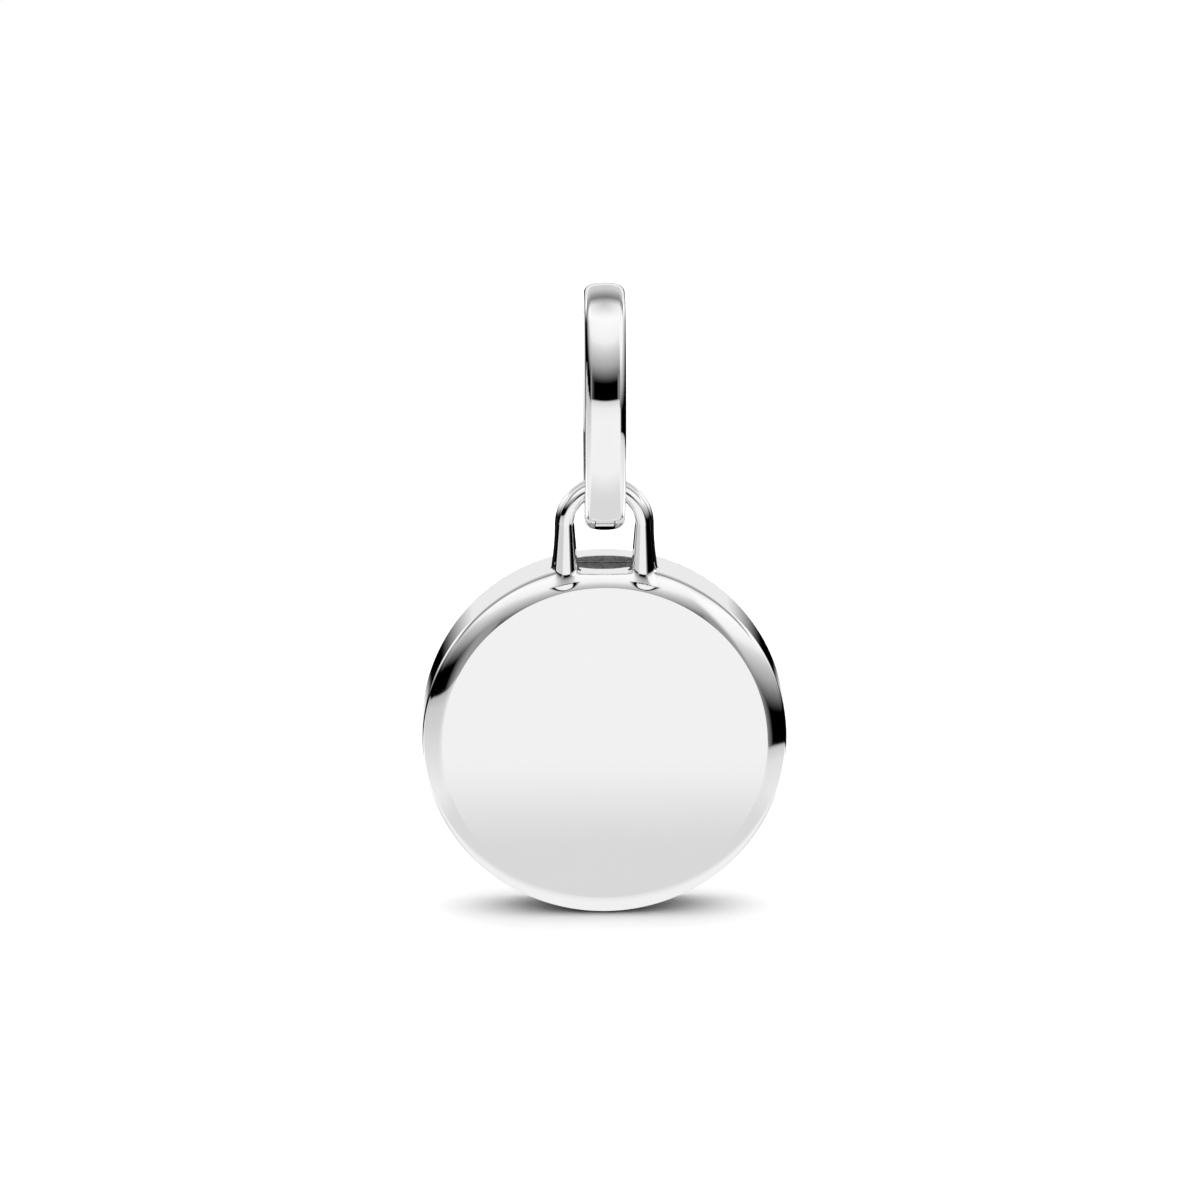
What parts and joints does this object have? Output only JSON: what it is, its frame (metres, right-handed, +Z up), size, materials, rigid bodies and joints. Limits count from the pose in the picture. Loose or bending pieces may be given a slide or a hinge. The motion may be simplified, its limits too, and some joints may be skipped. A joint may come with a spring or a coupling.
{
  "type": "medallion charm",
  "caption": "Round polished medallion with a cast loop, hanging in a long oval bail that opens on a hinge.",
  "frame": {"origin": "inside top of the bail, where a chain or a carrier link holds the charm", "axes": "+Z up the charm, -Y out of the medallion's smooth back, towards the viewer of the picture, +X to the viewer's right"},
  "size_m": [0.014, 0.0056, 0.025],
  "materials": {
    "medallion_silver": "mirror-polished silver",
    "bail_silver": "mirror-polished silver",
    "gate_silver": "mirror-polished silver",
    "pin_silver": "polished silver wire"
  },
  "bodies": {
    "bail": {"bail": "bail_silver", "hinge_pin": "pin_silver"},
    "gate": {"bail_gate": "gate_silver"},
    "pendant": {"medallion": "medallion_silver"}
  },
  "joints": [
    {"name": "gate_hinge", "type": "hinge", "parent": "bail", "child": "gate", "pos_m": [0, -0.00078, -0.0078], "axis": [-1, 0, 0], "range_deg": [0, 24]},
    {"name": "medallion_swing", "type": "hinge", "parent": "bail", "child": "pendant", "pos_m": [0, 0, -0.00658], "axis": [-1, 0, 0], "range_deg": [-40, 70]}
  ]
}
